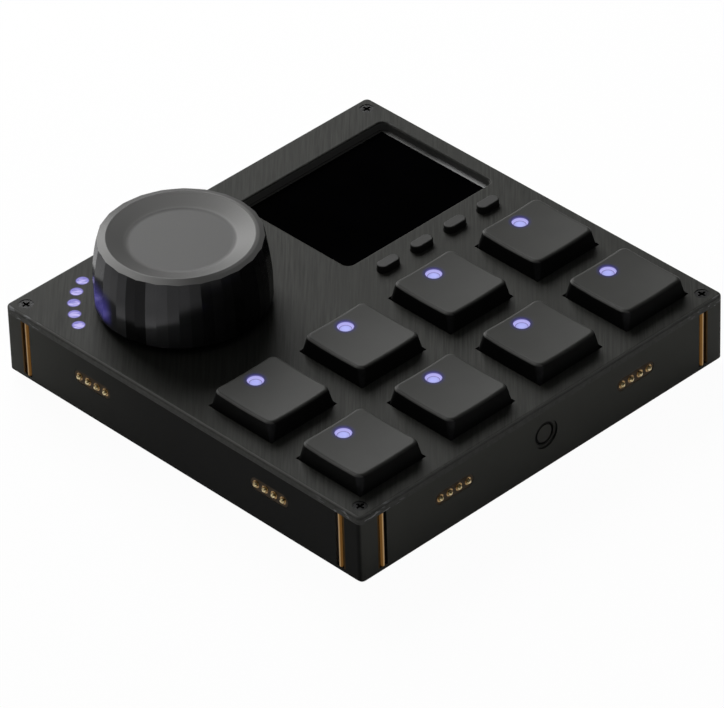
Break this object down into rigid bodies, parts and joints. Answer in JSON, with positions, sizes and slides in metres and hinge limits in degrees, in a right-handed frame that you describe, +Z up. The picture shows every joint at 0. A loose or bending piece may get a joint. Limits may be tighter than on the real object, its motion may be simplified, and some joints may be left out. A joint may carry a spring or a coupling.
{
  "type": "macro keypad",
  "caption": "Flat square desk keypad with low square keys, a large dished rotary knob, an inset display and pill-shaped buttons.",
  "frame": {"origin": "on the table under the middle of the square case, in the plane of the feet", "axes": "+X to the right, +Y to the back, +Z up; the keys and the round sunk button are at the front, -Y"},
  "size_m": [0.1014, 0.1014, 0.0331],
  "materials": {
    "case": "matte dark grey, very finely ridged",
    "case_side": "matte dark grey",
    "keycap": "satin dark grey",
    "button": "satin dark grey",
    "knob": "satin dark grey",
    "lens": "frosted",
    "led": "lit pale violet",
    "display_glass": "polished black",
    "panel": "matte",
    "screw": "black oxide",
    "steel": "satin",
    "brass": "drawn",
    "gold": "gold plated",
    "rubber": "matte",
    "board": "solder mask",
    "chip": "matte black",
    "contact_block": "matte black",
    "housing": "matte black",
    "stem": "satin",
    "white_plastic": "satin"
  },
  "bodies": {
    "case": {"top_plate": "case", "lower_case": "case_side", "corner_screws": "screw", "threaded_inserts": "brass", "side_rods": "brass", "rubber_feet": "rubber", "main_board": "board", "board_screws": "screw", "controller_chip": "chip", "display_panel": "panel", "display_glass": "display_glass", "encoder_body": "chip", "encoder_nut": "steel", "status_light_pipes": "lens", "status_leds": "led", "pin_blocks": "contact_block", "target_blocks": "contact_block", "target_contacts": "gold", "side_switch": "chip", "usb_port": "steel", "usb_tongue": "chip", "switch_housings": "housing", "key_leds": "led", "tact_switches": "chip"},
    "knob_push": {"knob_push_actuator": "white_plastic"},
    "knob": {"knob_cap": "knob", "encoder_shaft": "steel"},
    "side_button": {"side_button": "button"},
    "key_1": {"keycap_1": "keycap", "keycap_lens_1": "lens", "switch_stem_1": "stem"},
    "key_2": {"keycap_2": "keycap", "keycap_lens_2": "lens", "switch_stem_2": "stem"},
    "key_3": {"keycap_3": "keycap", "keycap_lens_3": "lens", "switch_stem_3": "stem"},
    "key_4": {"keycap_4": "keycap", "keycap_lens_4": "lens", "switch_stem_4": "stem"},
    "key_5": {"keycap_5": "keycap", "keycap_lens_5": "lens", "switch_stem_5": "stem"},
    "key_6": {"keycap_6": "keycap", "keycap_lens_6": "lens", "switch_stem_6": "stem"},
    "key_7": {"keycap_7": "keycap", "keycap_lens_7": "lens", "switch_stem_7": "stem"},
    "key_8": {"keycap_8": "keycap", "keycap_lens_8": "lens", "switch_stem_8": "stem"},
    "soft_1": {"soft_button_1": "button"},
    "pins_1": {"contact_pins_1": "gold"},
    "soft_2": {"soft_button_2": "button"},
    "pins_2": {"contact_pins_2": "gold"},
    "soft_3": {"soft_button_3": "button"},
    "pins_3": {"contact_pins_3": "gold"},
    "soft_4": {"soft_button_4": "button"},
    "pins_4": {"contact_pins_4": "gold"}
  },
  "joints": [
    {"name": "key_press_1", "type": "slide", "parent": "case", "child": "key_1", "axis": [0, 0, -1], "range_m": [0, 0.003], "stiffness_N_per_m": 60, "springref_m": -0.006},
    {"name": "key_press_2", "type": "slide", "parent": "case", "child": "key_2", "axis": [0, 0, -1], "range_m": [0, 0.003], "stiffness_N_per_m": 60, "springref_m": -0.006},
    {"name": "key_press_3", "type": "slide", "parent": "case", "child": "key_3", "axis": [0, 0, -1], "range_m": [0, 0.003], "stiffness_N_per_m": 60, "springref_m": -0.006},
    {"name": "key_press_4", "type": "slide", "parent": "case", "child": "key_4", "axis": [0, 0, -1], "range_m": [0, 0.003], "stiffness_N_per_m": 60, "springref_m": -0.006},
    {"name": "key_press_5", "type": "slide", "parent": "case", "child": "key_5", "axis": [0, 0, -1], "range_m": [0, 0.003], "stiffness_N_per_m": 60, "springref_m": -0.006},
    {"name": "key_press_6", "type": "slide", "parent": "case", "child": "key_6", "axis": [0, 0, -1], "range_m": [0, 0.003], "stiffness_N_per_m": 60, "springref_m": -0.006},
    {"name": "key_press_7", "type": "slide", "parent": "case", "child": "key_7", "axis": [0, 0, -1], "range_m": [0, 0.003], "stiffness_N_per_m": 60, "springref_m": -0.006},
    {"name": "key_press_8", "type": "slide", "parent": "case", "child": "key_8", "axis": [0, 0, -1], "range_m": [0, 0.003], "stiffness_N_per_m": 60, "springref_m": -0.006},
    {"name": "soft_press_1", "type": "slide", "parent": "case", "child": "soft_1", "axis": [0, 0, -1], "range_m": [0, 0.0004], "stiffness_N_per_m": 400, "springref_m": -0.002},
    {"name": "soft_press_2", "type": "slide", "parent": "case", "child": "soft_2", "axis": [0, 0, -1], "range_m": [0, 0.0004], "stiffness_N_per_m": 400, "springref_m": -0.002},
    {"name": "soft_press_3", "type": "slide", "parent": "case", "child": "soft_3", "axis": [0, 0, -1], "range_m": [0, 0.0004], "stiffness_N_per_m": 400, "springref_m": -0.002},
    {"name": "soft_press_4", "type": "slide", "parent": "case", "child": "soft_4", "axis": [0, 0, -1], "range_m": [0, 0.0004], "stiffness_N_per_m": 400, "springref_m": -0.002},
    {"name": "knob_press", "type": "slide", "parent": "case", "child": "knob_push", "axis": [0, 0, -1], "range_m": [0, 0.0005], "stiffness_N_per_m": 1200, "springref_m": -0.002},
    {"name": "knob_turn", "type": "hinge", "parent": "knob_push", "child": "knob", "pos_m": [-0.0252, 0.0252, 0.0168], "axis": [0, 0, -1], "continuous": true},
    {"name": "side_button_press", "type": "slide", "parent": "case", "child": "side_button", "axis": [0, 1, 0], "range_m": [0, 0.0004], "stiffness_N_per_m": 400, "springref_m": -0.002},
    {"name": "pins_press_1", "type": "slide", "parent": "case", "child": "pins_1", "axis": [0, 1, 0], "range_m": [0, 0.0005], "stiffness_N_per_m": 400, "springref_m": -0.0015},
    {"name": "pins_press_2", "type": "slide", "parent": "case", "child": "pins_2", "axis": [0, 1, 0], "range_m": [0, 0.0005], "stiffness_N_per_m": 400, "springref_m": -0.0015},
    {"name": "pins_press_3", "type": "slide", "parent": "case", "child": "pins_3", "axis": [1, 0, 0], "range_m": [0, 0.0005], "stiffness_N_per_m": 400, "springref_m": -0.0015},
    {"name": "pins_press_4", "type": "slide", "parent": "case", "child": "pins_4", "axis": [1, 0, 0], "range_m": [0, 0.0005], "stiffness_N_per_m": 400, "springref_m": -0.0015}
  ]
}
